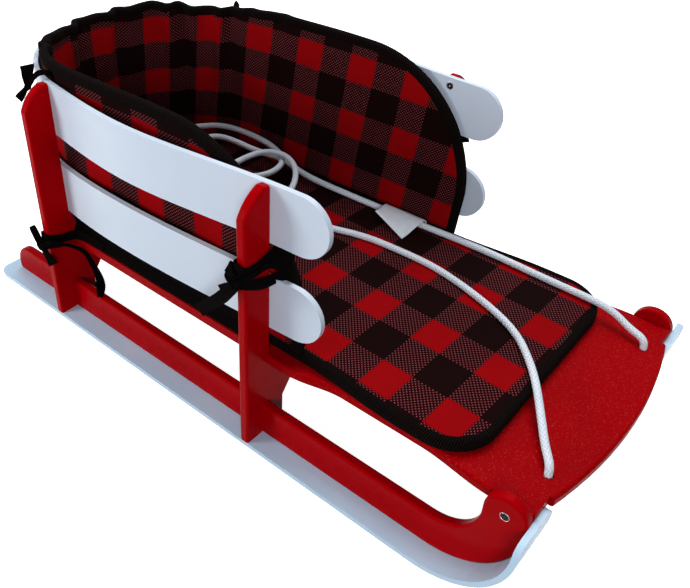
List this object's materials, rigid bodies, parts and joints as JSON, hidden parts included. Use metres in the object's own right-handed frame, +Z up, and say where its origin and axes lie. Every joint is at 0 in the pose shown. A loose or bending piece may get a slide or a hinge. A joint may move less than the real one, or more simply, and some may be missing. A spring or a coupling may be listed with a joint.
{
  "type": "child's pull sled with padded seat",
  "caption": "Child's pull sled cut from red sheet plastic: hooked runners on white skis, bent white back boards, checked padded liner and a tow rope.",
  "frame": {"origin": "on the ground under the middle of the sled's length and width", "axes": "+X forward, towards the turned-up skis; +Y to the rider's left; +Z up"},
  "size_m": [0.8209, 0.4, 0.347],
  "materials": {
    "red_board": "gloss",
    "white_board": "satin",
    "ski_strip": "gloss",
    "checked_cloth": "matte",
    "rope_braid": "matte"
  },
  "bodies": {
    "root": {"ski_left": "ski_strip", "ski_right": "ski_strip", "runner_left": "red_board", "runner_right": "red_board", "front_frame": "red_board", "rear_frame": "red_board", "deck": "red_board", "top_slat": "white_board", "lower_slat": "white_board", "seat_pad": "checked_cloth", "liner": "checked_cloth", "tow_rope_left": "rope_braid", "tow_rope_right": "rope_braid", "tow_rope_underside": "rope_braid"}
  },
  "joints": []
}
